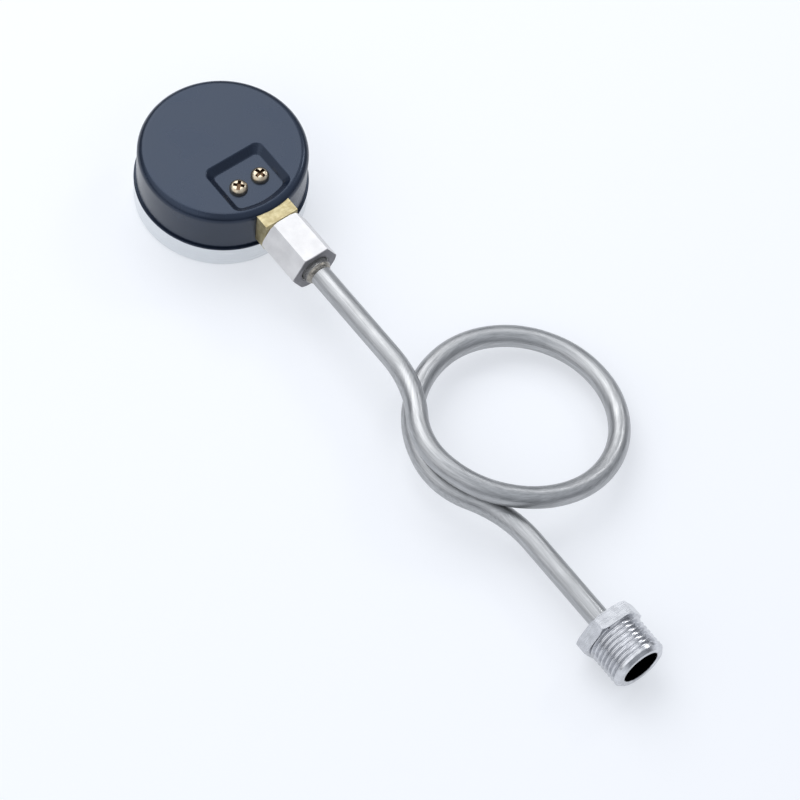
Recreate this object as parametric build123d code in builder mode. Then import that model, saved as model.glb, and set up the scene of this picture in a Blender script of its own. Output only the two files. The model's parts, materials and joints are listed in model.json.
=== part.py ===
"""Dial pressure gauge on a coil siphon, lying on its face.

Frame: origin on the axis of the process thread, at the shoulder where it meets its
hexagon, +X out along that thread, +Z up. The gauge's stem and both legs of the siphon
run along X. Millimetres.
"""

import os
from math import acos, cos, pi, radians, sin, sqrt, tan

from build123d import *

# ---------------------------------------------------------------- siphon
gauge_reach = 245.0         # gauge axis to the end of the process thread
tube_od = 8.0
tube_wall = 1.0
coil_centre_x = 142.8       # from the gauge axis, along the legs
coil_offset = 26.6          # coil centre to the line of the legs
coil_radius = 36.3          # centre line of the turn
leg_bend_radius = 66.0      # of the bends into the turn, before the bulge
coil_bulge = (4.0, 1.8)     # that the first and second arcs from a leg stand out
coil_tilt = 8.0             # degrees that the coil leans about the line of the legs
coil_gap = 0.86             # a full turn's drop over the tube; 0.2 is left by the legs
coil_arcs = 12

thread_d = 20.955           # parallel pipe thread, 1/2 inch
thread_length = 15.0
thread_chamfer = 1.3
process_hex_af = 22.0
process_hex_length = 5.5
process_bore_d = 14.3
process_bore_depth = 15.0
tube_insert = 4.0           # how far the tube goes into a socket
weld_length = 1.6
weld_height = 1.1

nut_af = 17.0
nut_lip_length = 2.8        # shoulder that pulls on the tail
nut_lip_d = 11.2
nut_gap = 0.4               # from the stem's square to the nut
tail_flange_d = 12.2
tail_flange_length = 2.5
tail_barrel_d = 10.5
nut_chamfer = 0.9           # of the hexagon's corners, at both ends
hex_chamfer = 1.0
tail_stick_out = 1.6        # of the barrel, out of the nut
washer_thickness = 1.5
washer_id = 5.4

# ---------------------------------------------------------------- gauge, outside
case_radius = 31.1
case_wall = 0.8
case_height = 28.8          # bezel face to case back
case_back_round = 3.0
bead_height = 0.8           # rolled bead that the bezel ring stops on
bead_depth = 0.85
ring_wall = 0.6
ring_gap = 0.1              # ring to case
ring_height = 9.8
ring_front_round = 1.2
ring_lip_width = 3.6
window_thickness = 2.0
gasket_thickness = 1.2
gasket_width = 2.2

recess_inner = 4.5          # recess in the back: its edges from the gauge axis
recess_rim = 3.3            # from the recess to the edge of the case
recess_half_width = 12.5
recess_depth = 2.7
recess_slope = 2.5          # width of its sloping walls
recess_corner = 3.2
recess_floor_corner = 2.0
recess_edge_round = 0.7     # where the pressed sheet turns into and out of the walls

stem_height = 20.17         # stem axis above the bezel face
stem_square = 14.0
stem_square_reach = 5.4     # of the square, out of the case
stem_thread_d = 14.0
stem_thread_length = 13.0
stem_nose_d = 5.0
stem_nose_length = 2.0
duct_d = 3.0
square_clearance = 0.15     # stem square in the case wall, per side

case_screw_d = 4.0
case_screw_head_d = 6.8
case_screw_head_height = 2.2
case_screw_x = 16.0
case_screw_spread = 9.5
screw_tip_gap = 1.88        # between the tips of the case's and the movement's screws
cross_turns = (45.0, 12.0)  # how each screw's cross slot has come to stand
cross_length, cross_width, cross_depth = 4.2, 1.3, 1.3
head_round = 1.9
stem_undercut = 0.8         # relief turned behind the stem's thread
square_chamfer = 0.8

# ---------------------------------------------------------------- gauge, inside
block_half_width = 7.0
block_inner = 8.0           # inner end of the socket's block
block_gap = 1.1             # from the block to the case's wall
block_drop = 4.55           # movement pad below the stem axis

bourdon_radius = 22.0
bourdon_width = 8.0
bourdon_thickness = 3.2
bourdon_wall = 0.35
bourdon_root = 6.0          # degrees from the stem, inside the socket
bourdon_tip = 275.0
solder_gap = 0.06
slot_start, slot_end = -5.0, 24.0
tip_lap = 1.5               # degrees of tube inside the end piece
tip_arc = 6.0               # degrees of the end piece past the tube
tip_wall = 0.6

dial_gap = 0.9              # from the dial to the case's wall
dial_thickness = 0.5
dial_height = 6.6           # printed face above the bezel face
front_plate_height = 9.0
front_plate_thickness = 0.8
back_plate_thickness = 1.0
plate_corner = 3.0
plate_waist = 2.0           # how far the plates reach past the pinion

tooth_module = 0.3
pinion_teeth = 10
sector_teeth = 90           # of the full circle
sector_cut_teeth = 11
pressure_angle = 25.0
tooth_addendum = 0.8        # in modules
tooth_dedendum = 1.1
tooth_thinning = 0.06
sector_direction = -54.0    # sector pivot as seen from the pinion, degrees
sector_thickness = 0.8
sector_height = 11.2
sector_hub = 2.6            # radius of the sector round its arbor
sector_rim = 1.8            # under the teeth
sector_window = 5.2         # inner radius of the sector's window
sector_spokes = (9.0, 14.0)  # degrees of spoke beside the window, at its rim and its hub
sector_lead = 15.0          # centre of the cut teeth past the mesh, degrees
tail_length = 5.9
tail_angle = -49.41         # of the sector's tail at rest
tail_width = 3.0
tip_pin_x, tip_pin_y = 5.0, -19.5

link_gap = 0.25
link_thickness = 0.5
link_width = 2.4
tail_pin_d = 1.1
tip_pin_d = 1.0
pivot_clearance = 0.05
open_pivot_clearance = 0.22  # the one pivot that takes up the tip's own path
lug_thickness = 1.0
lug_radius = 1.4

arbor_d = 2.0
collar_step = 0.6           # of the sector arbor's collar, out and along
leaf_overhang = 0.6         # of the pinion's leaves past the sector, each way
pivot_d = 0.9
pointer_arbor_d = 1.6
end_shake = 0.15            # arbors between the plates

spring_turns = 3
spring_inner = 1.75
spring_pitch = 0.9
spring_strip = 0.14
spring_width = 0.6
spring_height = 13.1
collet_d = 3.2
stud_d = 1.2

pillar_d = 3.2
pillar_spots = ((13.5, 4.5), (17.0, -5.0), (-5.5, 4.5))
movement_screw_d = 2.4
movement_screw_bite = 3.0
movement_head_height = 1.0
slot_width, slot_depth = 0.5, 0.4   # of the small slotted screws
screw_clearance = 0.1
dial_screw_spots = ((0.0, 8.5), (0.0, -8.5))
dial_screw_d = 1.8
dial_screw_head_d = 3.2
dial_screw_head_height = 0.8
dial_spacer_d = 3.4

pointer_height = 4.7
pointer_thickness = 0.4
pointer_short = 6.9         # from the pointer's end to the dial's edge
pointer_tail = 8.5
pointer_hub_d = 4.2
pointer_zero = 45.0         # direction of zero on the dial, degrees from the stem
stop_pin_radius = 15.0
stop_pin_d = 1.0
press_gap = 0.01
fit_gap = 0.02

# ---------------------------------------------------------------- worked out
coil_drop_per_turn = tube_od + coil_gap
leg_turn = acos((coil_offset + leg_bend_radius) / (coil_radius + leg_bend_radius))
coil_turn = 2 * pi + 2 * leg_turn
coil_step = coil_turn / coil_arcs
coil_drop = coil_drop_per_turn * coil_step * (coil_arcs - 1) / (2 * pi)
tilt = radians(coil_tilt)

gauge_x = thread_length - gauge_reach
gauge_y = coil_drop * sin(tilt)
stem_z = coil_drop * cos(tilt)
face_z = stem_z - stem_height

case_inner = case_radius - case_wall
ring_radius = case_radius + ring_gap + ring_wall
ring_lip_radius = ring_radius - ring_lip_width
recess_outer_radius = case_radius - recess_rim
stem_square_end = case_radius + stem_square_reach
block_outer = case_inner - block_gap
dial_radius = case_inner - dial_gap
pointer_length = dial_radius - pointer_short
tip_end = bourdon_tip + tip_arc
case_front = ring_wall + window_thickness + gasket_thickness
recess_floor = case_height - recess_depth
block_top = recess_floor - case_wall
pad_height = stem_height - block_drop
case_screw_bite = block_top - pad_height - movement_screw_bite - screw_tip_gap
stem_thread_end = stem_square_end + stem_thread_length
tail_start = stem_thread_end + washer_thickness
nut_start = stem_square_end + nut_gap
nut_lip_start = tail_start + tail_flange_length
nut_end = nut_lip_start + nut_lip_length
tail_end = nut_end + tail_stick_out
process_length = thread_length + process_hex_length

pitch_pinion = tooth_module * pinion_teeth / 2
pitch_sector = tooth_module * sector_teeth / 2
sector_x = (pitch_pinion + pitch_sector) * cos(radians(sector_direction))
sector_y = (pitch_pinion + pitch_sector) * sin(radians(sector_direction))
tail_pin_x = sector_x + tail_length * cos(radians(tail_angle))
tail_pin_y = sector_y + tail_length * sin(radians(tail_angle))
link_height = sector_height + sector_thickness + link_gap
lug_height = link_height + link_thickness + 0.5
back_plate_height = pad_height - back_plate_thickness
plates_inside = front_plate_height + front_plate_thickness

stem_axis = Axis((gauge_x, gauge_y, stem_z), (1, 0, 0))
gauge_axis = Axis((gauge_x, gauge_y, face_z), (0, 0, 1))
pipe_axis = Axis((0, 0, 0), (1, 0, 0))
gauge_side = Plane((gauge_x, gauge_y, face_z), x_dir=(1, 0, 0), z_dir=(0, -1, 0))
stem_side = Plane((gauge_x, gauge_y, stem_z), x_dir=(1, 0, 0), z_dir=(0, -1, 0))

os.makedirs("parts", exist_ok=True)


def save(builder, name):
    """Label a finished piece and write its STEP file."""
    builder.part.label = name
    export_step(builder.part, f"parts/{name}.step")


def level(height):
    """Plane square to the gauge axis, this high above the bezel face."""
    return Plane((gauge_x, gauge_y, face_z + height))


def across_stem(distance):
    """Plane square to the stem, this far from the gauge axis; its y is up."""
    return Plane((gauge_x + distance, gauge_y, stem_z), x_dir=(0, 1, 0), z_dir=(1, 0, 0))


def turned(side, axis, points, mode=Mode.ADD):
    """Revolve a closed outline of (along, out) points about an axis."""
    with BuildSketch(side) as half:
        with BuildLine():
            Polyline(*points, close=True)
        make_face()
    revolve(half.sketch, axis=axis, mode=mode)


def corner_radius(across_flats):
    """Radius over the corners of a hexagon."""
    return across_flats / 2 / cos(pi / 6)


def drum(start, end, radius, chamfered):
    """Half outline of a cylinder with both end edges chamfered."""
    return (
        (start, 0), (start, radius - chamfered), (start + chamfered * 0.5, radius),
        (end - chamfered * 0.5, radius), (end, radius - chamfered), (end, 0),
    )


# ---------------------------------------------------------------- siphon tube
def coil_points():
    """Corners of the centre line, in the coil's own plane: along, aside, below."""
    reach = (coil_radius + leg_bend_radius) * sin(leg_turn)
    corner = reach - leg_bend_radius * tan(leg_turn / 2)
    points = [(coil_centre_x - corner, 0, 0)]
    for arc in range(coil_arcs):
        turn = pi - leg_turn + coil_step * (arc + 0.5)
        from_leg = min(arc, coil_arcs - 1 - arc)
        outside = coil_radius / cos(coil_step / 2) + sum(coil_bulge[from_leg:from_leg + 1])
        points.append((
            coil_centre_x - outside * sin(turn),
            coil_offset + outside * cos(turn),
            -coil_drop * arc / (coil_arcs - 1),
        ))
    points.append((coil_centre_x + corner, 0, -coil_drop))
    return points


tube_start = tail_end - tube_insert
tube_end = gauge_reach - process_length + tube_insert
tube_points = [(tube_start, 0, 0), *coil_points(), (tube_end, 0, -coil_drop)]
arc_share = 0.98            # leaves a short straight between two arcs


def bend_radii(points):
    """Radius at each corner that takes up most of half its shorter side."""
    radii = []
    for before, corner, after in zip(points, points[1:], points[2:]):
        back = Vector(*before) - Vector(*corner)
        onward = Vector(*after) - Vector(*corner)
        reach = min(back.length, onward.length) / 2 * arc_share
        radii.append(reach * tan(radians(back.get_angle(onward)) / 2))
    return radii


coil_plane = Plane(
    (gauge_x, gauge_y, stem_z), x_dir=(1, 0, 0), z_dir=(0, sin(tilt), cos(tilt))
)

with BuildPart() as siphon_tube:
    with BuildLine(coil_plane) as centre_line:
        FilletPolyline(*tube_points, radius=bend_radii(tube_points))
    with BuildSketch(across_stem(tube_start)):
        Circle(tube_od / 2)
        Circle(tube_od / 2 - tube_wall, mode=Mode.SUBTRACT)
    sweep(path=centre_line.wires()[0])
save(siphon_tube, "siphon_tube")

# ---------------------------------------------------------------- process connection
tube_seat = tube_od / 2 + fit_gap
tube_bore = tube_od / 2 - tube_wall
with BuildPart() as process_connection:
    with BuildSketch(Plane.YZ.offset(-process_hex_length)):
        RegularPolygon(process_hex_af / 2, 6, major_radius=False)
    extrude(amount=process_hex_length)
    turned(Plane.XZ, pipe_axis, drum(
        -process_hex_length, 0, corner_radius(process_hex_af), hex_chamfer
    ), Mode.INTERSECT)
    turned(Plane.XZ, pipe_axis, (
        (-process_hex_length / 2, 0), (-process_hex_length / 2, thread_d / 2),
        (thread_length - thread_chamfer, thread_d / 2),
        (thread_length, thread_d / 2 - thread_chamfer), (thread_length, 0),
    ))
    with BuildSketch(Plane.YZ.offset(-process_hex_length)):
        Circle(tube_seat)
    extrude(amount=tube_insert, mode=Mode.SUBTRACT)
    with BuildSketch(Plane.YZ.offset(-process_hex_length)):
        Circle(tube_bore)
    extrude(amount=process_length, mode=Mode.SUBTRACT)
    with BuildSketch(Plane.YZ.offset(thread_length)):
        Circle(process_bore_d / 2)
    extrude(amount=-process_bore_depth, mode=Mode.SUBTRACT)
save(process_connection, "process_connection")


def weld_bead(start, away, side, axis):
    """Bead round the tube: it leans on the face at start and runs out along away."""
    foot = tube_seat + weld_height
    with BuildSketch(side) as half:
        with BuildLine():
            Polyline(
                (start, foot), (start, tube_seat), (start + away * weld_length, tube_seat),
                (start + away * weld_length * 0.9, tube_seat + weld_height * 0.3),
                (start + away * weld_length * 0.5, tube_seat + weld_height * 0.8),
                close=True,
            )
        make_face()
    revolve(half.sketch, axis=axis)


with BuildPart() as lower_weld:
    weld_bead(-process_hex_length, -1, Plane.XZ, pipe_axis)
save(lower_weld, "lower_weld")

# ---------------------------------------------------------------- coupling at the gauge
with BuildPart() as upper_weld:
    weld_bead(tail_end, 1, stem_side, stem_axis)
save(upper_weld, "upper_weld")

with BuildPart() as siphon_tail:
    turned(stem_side, stem_axis, (
        (tail_start, tube_bore), (tail_start, tail_flange_d / 2),
        (nut_lip_start, tail_flange_d / 2), (nut_lip_start, tail_barrel_d / 2),
        (tail_end, tail_barrel_d / 2), (tail_end, tube_seat),
        (tube_start, tube_seat), (tube_start, tube_bore),
    ))
save(siphon_tail, "siphon_tail")

with BuildPart() as sealing_washer:
    turned(stem_side, stem_axis, (
        (stem_thread_end, washer_id / 2), (stem_thread_end, tail_flange_d / 2),
        (tail_start, tail_flange_d / 2), (tail_start, washer_id / 2),
    ))
save(sealing_washer, "sealing_washer")

nut_bore = stem_thread_d / 2 + pivot_clearance
with BuildPart() as coupling_nut:
    with BuildSketch(across_stem(nut_start)):
        RegularPolygon(nut_af / 2, 6, major_radius=False)
    extrude(amount=nut_end - nut_start)
    turned(stem_side, stem_axis, drum(
        nut_start, nut_end, corner_radius(nut_af), nut_chamfer
    ), Mode.INTERSECT)
    turned(stem_side, stem_axis, (
        (nut_start, 0), (nut_start, nut_bore + 0.5), (nut_start + 0.5, nut_bore),
        (nut_lip_start, nut_bore), (nut_lip_start, nut_lip_d / 2),
        (nut_end - 0.5, nut_lip_d / 2), (nut_end, nut_lip_d / 2 + 0.5), (nut_end, 0),
    ), Mode.SUBTRACT)
save(coupling_nut, "coupling_nut")

# ---------------------------------------------------------------- case and bezel


def recess_outline(inset):
    """Outline of the recess, its walls moved inwards by inset; drawn on the open sketch."""
    inner = recess_inner + inset
    outer = recess_outer_radius - inset
    half = recess_half_width - inset
    with Locations(((inner + outer) / 2, 0)):
        Rectangle(outer - inner, 2 * half)
    Circle(outer, mode=Mode.INTERSECT)


def recess_solid(lowered, grown, mode):
    """Tapered plug in the shape of the recess."""
    with BuildSketch(level(case_height - lowered)) as mouth:
        recess_outline(-grown)
        fillet(mouth.vertices(), recess_corner + grown)
    with BuildSketch(level(recess_floor - lowered)) as floor:
        recess_outline(recess_slope - grown)
        fillet(floor.vertices(), recess_floor_corner + grown)
    loft([mouth.sketch, floor.sketch], mode=mode)


with BuildPart() as cavity:
    with BuildSketch(gauge_side) as cavity_half:
        with BuildLine():
            Polyline(
                (0, case_front - 1), (case_inner, case_front - 1),
                (case_inner, case_height - case_wall), (0, case_height - case_wall),
                close=True,
            )
        make_face()
        fillet(
            cavity_half.vertices().sort_by_distance((case_inner, case_height))[0],
            case_back_round - case_wall,
        )
    revolve(axis=gauge_axis)
    recess_solid(case_wall, case_wall * (sqrt(2) - 1), Mode.SUBTRACT)

with BuildPart() as case:
    with BuildSketch(gauge_side) as case_half:
        with BuildLine():
            Polyline(
                (0, case_front), (case_radius, case_front), (case_radius, ring_height),
                (case_radius + bead_depth - 0.25, ring_height),
                (case_radius + bead_depth, ring_height + 0.25),
                (case_radius + bead_depth, ring_height + bead_height - 0.25),
                (case_radius + bead_depth - 0.25, ring_height + bead_height),
                (case_radius, ring_height + bead_height),
                (case_radius, case_height), (0, case_height),
                close=True,
            )
        make_face()
        fillet(
            case_half.vertices().sort_by_distance((case_radius, case_height))[0],
            case_back_round,
        )
    revolve(axis=gauge_axis)
    recess_solid(0, 0, Mode.SUBTRACT)
    back, sunk = case.faces().filter_by(Axis.Z).sort_by(Axis.Z)[:-3:-1]
    fillet([*back.inner_wires()[0].edges(), *sunk.edges()], recess_edge_round)
    add(cavity.part, mode=Mode.SUBTRACT)
    with BuildSketch(across_stem(block_outer - 0.3)):
        Rectangle(stem_square + 2 * square_clearance, stem_square + 2 * square_clearance)
    extrude(amount=case_radius - block_outer + 2, mode=Mode.SUBTRACT)
    with BuildSketch(level(recess_floor - case_wall - 1)):
        with Locations((case_screw_x, case_screw_spread / 2), (case_screw_x, -case_screw_spread / 2)):
            Circle(case_screw_d / 2 + screw_clearance)
    extrude(amount=case_wall + 2, mode=Mode.SUBTRACT)
save(case, "case")

ring_inner = case_radius + ring_gap
with BuildPart() as bezel_ring:
    with BuildSketch(gauge_side) as ring_half:
        with BuildLine():
            Polyline(
                (ring_lip_radius, 0), (ring_radius, 0), (ring_radius, ring_height),
                (ring_inner, ring_height), (ring_inner, ring_wall),
                (ring_lip_radius, ring_wall), close=True,
            )
        make_face()
        fillet(ring_half.vertices().sort_by_distance((ring_radius, 0))[0], ring_front_round)
    revolve(axis=gauge_axis)
save(bezel_ring, "bezel_ring")

with BuildPart() as window:
    turned(gauge_side, gauge_axis, (
        (0, ring_wall), (ring_inner - 0.5, ring_wall), (ring_inner - 0.1, ring_wall + 0.4),
        (ring_inner - 0.1, ring_wall + window_thickness), (0, ring_wall + window_thickness),
    ))
save(window, "window")

with BuildPart() as window_gasket:
    with BuildSketch(level(ring_wall + window_thickness)):
        Circle(case_radius)
        Circle(case_radius - gasket_width, mode=Mode.SUBTRACT)
    extrude(amount=gasket_thickness)
save(window_gasket, "window_gasket")

# ---------------------------------------------------------------- socket


def bourdon_slot(grown):
    """Bourdon tube section, grown all round, in the plane of its root."""
    SlotOverall(bourdon_width + 2 * grown, bourdon_thickness + 2 * grown, rotation=90)


def bourdon_plane(angle):
    """Upright plane through the gauge axis; its x points out along the given angle."""
    out = radians(angle)
    return Plane(
        (gauge_x, gauge_y, stem_z), x_dir=(cos(out), sin(out), 0), z_dir=(sin(out), -cos(out), 0)
    )


def sweep_round(start, end, draw, mode):
    """Revolve a section from one angle to another about the gauge axis."""
    with BuildSketch(bourdon_plane(start)) as section:
        with Locations((bourdon_radius, 0)):
            draw()
    revolve(section.sketch, axis=gauge_axis, revolution_arc=end - start, mode=mode)


with BuildPart() as socket:
    with BuildSketch(level(pad_height)):
        with Locations(((block_inner + block_outer) / 2, 0)):
            Rectangle(block_outer - block_inner, 2 * block_half_width)
    extrude(amount=block_top - pad_height)
    with BuildSketch(across_stem(block_outer)):
        Rectangle(stem_square, stem_square)
    extrude(amount=stem_square_end - block_outer)
    chamfer(socket.faces().sort_by(Axis.X)[-1].edges(), square_chamfer)
    turned(stem_side, stem_axis, (
        (stem_square_end - 1, 0), (stem_square_end - 1, stem_thread_d / 2 - stem_undercut),
        (stem_square_end + stem_undercut, stem_thread_d / 2 - stem_undercut),
        (stem_square_end + 2 * stem_undercut, stem_thread_d / 2),
        (stem_thread_end - 1, stem_thread_d / 2),
        (stem_thread_end, stem_thread_d / 2 - 1), (stem_thread_end, stem_nose_d / 2),
        (stem_thread_end + stem_nose_length, stem_nose_d / 2),
        (stem_thread_end + stem_nose_length, 0),
    ))
    with BuildSketch(across_stem(bourdon_radius)):
        Circle(duct_d / 2)
    extrude(amount=stem_thread_end + stem_nose_length, mode=Mode.SUBTRACT)
    sweep_round(slot_start, slot_end, lambda: bourdon_slot(solder_gap), Mode.SUBTRACT)
    with BuildSketch(level(block_top)):
        with Locations((case_screw_x, case_screw_spread / 2), (case_screw_x, -case_screw_spread / 2)):
            Circle(case_screw_d / 2 + fit_gap)
    extrude(amount=-case_screw_bite - 0.5, mode=Mode.SUBTRACT)
    with BuildSketch(level(pad_height)):
        with Locations(*pillar_spots[:2]):
            Circle(movement_screw_d / 2 + fit_gap)
    extrude(amount=movement_screw_bite + 0.5, mode=Mode.SUBTRACT)
save(socket, "socket")

for number, (side, cross_turn) in enumerate(zip((-1, 1), cross_turns), start=1):
    spot = (case_screw_x, side * case_screw_spread / 2)
    with BuildPart() as case_screw:
        with BuildSketch(level(recess_floor)):
            with Locations(spot):
                Circle(case_screw_head_d / 2)
        extrude(amount=case_screw_head_height)
        fillet(case_screw.faces().sort_by(Axis.Z)[-1].edges(), head_round)
        with BuildSketch(level(recess_floor)):
            with Locations(spot):
                Circle(case_screw_d / 2)
        extrude(amount=-case_wall - case_screw_bite)
        with BuildSketch(level(recess_floor + case_screw_head_height)):
            with Locations(spot):
                Rectangle(cross_length, cross_width, rotation=cross_turn)
                Rectangle(cross_length, cross_width, rotation=cross_turn + 90)
        extrude(amount=-cross_depth, mode=Mode.SUBTRACT)
    save(case_screw, f"case_screw_{number}")

# ---------------------------------------------------------------- bourdon tube
with BuildPart() as bourdon_tube:
    sweep_round(bourdon_root, bourdon_tip, lambda: bourdon_slot(0), Mode.ADD)
    sweep_round(bourdon_root, bourdon_tip, lambda: bourdon_slot(-bourdon_wall), Mode.SUBTRACT)
save(bourdon_tube, "bourdon_tube")

lug_post_radius = bourdon_radius - bourdon_thickness / 2 - tip_wall + lug_radius
lug_post_angle = radians((bourdon_tip + tip_end) / 2)
lug_post = (lug_post_radius * cos(lug_post_angle), lug_post_radius * sin(lug_post_angle))
with BuildPart() as tube_tip:
    with BuildSketch(bourdon_plane(bourdon_tip - tip_lap)):
        with Locations((bourdon_radius, 0)):
            Rectangle(bourdon_thickness + 2 * tip_wall, bourdon_width + 2 * tip_wall)
    revolve(axis=gauge_axis, revolution_arc=tip_end - bourdon_tip + tip_lap)
    sweep_round(bourdon_tip - tip_lap - 1, bourdon_tip + 0.1, lambda: bourdon_slot(solder_gap),
                Mode.SUBTRACT)
    with BuildSketch(level(lug_height)):
        with Locations((tip_pin_x, tip_pin_y), lug_post):
            Circle(lug_radius)
        make_hull()
    extrude(amount=lug_thickness)
    with BuildSketch(level(lug_height)):
        with Locations(lug_post):
            Circle(lug_radius)
    extrude(amount=stem_height - bourdon_width / 2 - lug_height)
    with BuildSketch(level(lug_height)):
        with Locations((tip_pin_x, tip_pin_y)):
            Circle(tip_pin_d / 2 + press_gap)
    extrude(amount=lug_thickness, mode=Mode.SUBTRACT)
save(tube_tip, "tube_tip")

with BuildPart() as tip_pin:
    with BuildSketch(level(link_height - 0.5)):
        with Locations((tip_pin_x, tip_pin_y)):
            Circle(tip_pin_d / 2)
    extrude(amount=lug_height + lug_thickness - link_height + 0.5)
save(tip_pin, "tip_pin")

# ---------------------------------------------------------------- link
link_x, link_y = tip_pin_x - tail_pin_x, tip_pin_y - tail_pin_y
link_length = sqrt(link_x**2 + link_y**2)
link_plane = Plane(
    (gauge_x + tail_pin_x, gauge_y + tail_pin_y, face_z + link_height),
    x_dir=(link_x, link_y, 0), z_dir=(0, 0, 1),
)
with BuildPart() as link:
    with BuildSketch(link_plane):
        with Locations((0, 0), (link_length, 0)):
            Circle(link_width / 2)
        with Locations((link_length / 2, 0)):
            Rectangle(link_length, link_width * 0.6)
        Circle(tail_pin_d / 2 + pivot_clearance, mode=Mode.SUBTRACT)
        with Locations((link_length, 0)):
            Circle(tip_pin_d / 2 + open_pivot_clearance, mode=Mode.SUBTRACT)
    extrude(amount=link_thickness)
save(link, "link")

# ---------------------------------------------------------------- movement


def plate(height, thickness):
    """Movement plate without its holes."""
    with BuildSketch(level(height)) as outline:
        with Locations((sector_x, sector_y), (0, -plate_waist), *pillar_spots, *dial_screw_spots[:1]):
            Circle(plate_corner)
        make_hull()
    extrude(outline.sketch, amount=thickness)


def drill(height, thickness, spots, diameter):
    """Round holes up through a plate."""
    with BuildSketch(level(height)) as holes:
        with Locations(*spots):
            Circle(diameter / 2)
    extrude(holes.sketch, amount=thickness, mode=Mode.SUBTRACT)


with BuildPart() as front_plate:
    plate(front_plate_height, front_plate_thickness)
    with BuildSketch(level(front_plate_height)):
        with Locations(dial_screw_spots[1]):
            Circle(plate_corner)
    extrude(amount=front_plate_thickness)
    drill(front_plate_height, front_plate_thickness, [(0, 0)], pointer_arbor_d + 0.1)
    drill(front_plate_height, front_plate_thickness, [(sector_x, sector_y)], pivot_d + 0.1)
    drill(front_plate_height, front_plate_thickness, pillar_spots,
          movement_screw_d + 2 * screw_clearance)
    drill(front_plate_height, front_plate_thickness, dial_screw_spots, dial_screw_d + 2 * fit_gap)
save(front_plate, "front_plate")

with BuildPart() as back_plate:
    plate(back_plate_height, back_plate_thickness)
    drill(back_plate_height, back_plate_thickness, [(0, 0), (sector_x, sector_y)], pivot_d + 0.1)
    drill(back_plate_height, back_plate_thickness, pillar_spots,
          movement_screw_d + 2 * screw_clearance)
save(back_plate, "back_plate")

for number, spot in enumerate(pillar_spots, start=1):
    screwed = number < 3
    with BuildPart() as pillar:
        with BuildSketch(level(plates_inside)):
            with Locations(spot):
                Circle(pillar_d / 2)
                if screwed:
                    Circle(movement_screw_d / 2 + screw_clearance, mode=Mode.SUBTRACT)
        extrude(amount=back_plate_height - plates_inside)
        if not screwed:
            with BuildSketch(level(front_plate_height)):
                with Locations(spot):
                    Circle(movement_screw_d / 2 + fit_gap)
            extrude(amount=back_plate_height + back_plate_thickness - front_plate_height)
    save(pillar, f"pillar_{number}")

for number, spot in enumerate(pillar_spots[:2], start=1):
    with BuildPart() as movement_screw:
        with BuildSketch(level(front_plate_height)):
            with Locations(spot):
                Circle(movement_screw_d * 0.85)
        extrude(amount=-movement_head_height)
        with BuildSketch(level(front_plate_height)):
            with Locations(spot):
                Circle(movement_screw_d / 2)
        extrude(amount=pad_height + movement_screw_bite - front_plate_height)
        with BuildSketch(level(front_plate_height - movement_head_height)):
            with Locations(spot):
                Rectangle(movement_screw_d * 2, slot_width)
        extrude(amount=slot_depth, mode=Mode.SUBTRACT)
    save(movement_screw, f"movement_screw_{number}")


def tooth(pitch_radius, teeth):
    """Corners of one involute tooth about the x axis, from inside the root out."""
    base = pitch_radius * cos(radians(pressure_angle))
    root = pitch_radius - tooth_dedendum * tooth_module
    tip = pitch_radius + tooth_addendum * tooth_module
    at_pitch = pi / (2 * teeth) - tooth_thinning / 2 / pitch_radius
    unwound = tan(radians(pressure_angle)) - radians(pressure_angle)

    def half_angle(radius):
        lean = acos(min(1.0, base / radius))
        return at_pitch + unwound - (tan(lean) - lean)

    radii = [root - 0.1, max(root, base), (max(root, base) + pitch_radius) / 2, pitch_radius,
             (pitch_radius + tip) / 2, tip]
    side = [(r, half_angle(max(r, base))) for r in radii]
    outline = [(r, a) for r, a in side] + [(r, -a) for r, a in reversed(side)]
    return [(r * cos(a), r * sin(a)) for r, a in outline]


pinion_root = pitch_pinion - tooth_dedendum * tooth_module
sector_root = pitch_sector - tooth_dedendum * tooth_module
arbor_low = plates_inside + end_shake
arbor_high = back_plate_height - end_shake
leaf_start = sector_height - leaf_overhang
leaf_end = sector_height + sector_thickness + leaf_overhang

with BuildPart() as pinion:
    with BuildSketch(level(leaf_start)):
        Circle(pinion_root)
        with PolarLocations(0, pinion_teeth, start_angle=sector_direction + 180 / pinion_teeth):
            Polygon(*tooth(pitch_pinion, pinion_teeth), align=None)
    extrude(amount=leaf_end - leaf_start)
    turned(gauge_side, gauge_axis, (
        (0, pointer_height - 0.6), (pointer_arbor_d / 2 - 0.2, pointer_height - 0.6),
        (pointer_arbor_d / 2, pointer_height - 0.2), (pointer_arbor_d / 2, arbor_low),
        (pinion_root, arbor_low), (pinion_root, leaf_end), (arbor_d / 2, leaf_end),
        (arbor_d / 2, arbor_high), (pivot_d / 2, arbor_high),
        (pivot_d / 2, back_plate_height + back_plate_thickness - 0.1),
        (0, back_plate_height + back_plate_thickness - 0.1),
    ))
save(pinion, "pinion")

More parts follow.
